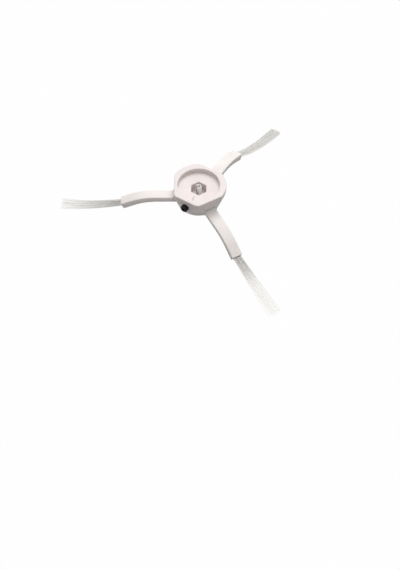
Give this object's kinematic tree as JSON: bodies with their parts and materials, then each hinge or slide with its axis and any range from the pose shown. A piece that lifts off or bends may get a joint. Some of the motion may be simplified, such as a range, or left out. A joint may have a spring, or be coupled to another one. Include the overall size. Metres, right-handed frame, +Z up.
{
  "type": "robot vacuum side brush",
  "caption": "Side brush of a robot vacuum: a round hub with a hexagon drive socket and a captive screw, and soft drooping arms that each end in a flat tuft of bristles.",
  "frame": {"origin": "on the drive axis, in the plane of the hub's rim, at the mouth of the drive socket", "axes": "+Z out of the socket towards the drive shaft; -X along the arm flex_arm_a; the brush stands on its tufts with +Z up"},
  "size_m": [0.1165, 0.1231, 0.0244],
  "materials": {
    "hub_plastic": "rigid moulded plastic, faintly warm white, satin",
    "arm_rubber": "soft moulded elastomer, ivory white, matt",
    "bristle_nylon": "translucent white nylon filaments",
    "screw_steel": "zinc-plated steel",
    "black_steel": "black-oxide steel, satin"
  },
  "bodies": {
    "root": {"bristle_tuft_a": "bristle_nylon", "bristle_tuft_b": "bristle_nylon", "bristle_tuft_c": "bristle_nylon", "clamp_screw": "black_steel", "fixing_screw": "screw_steel", "flex_arm_a": "arm_rubber", "flex_arm_b": "arm_rubber", "flex_arm_c": "arm_rubber", "hub": "hub_plastic"}
  },
  "joints": []
}
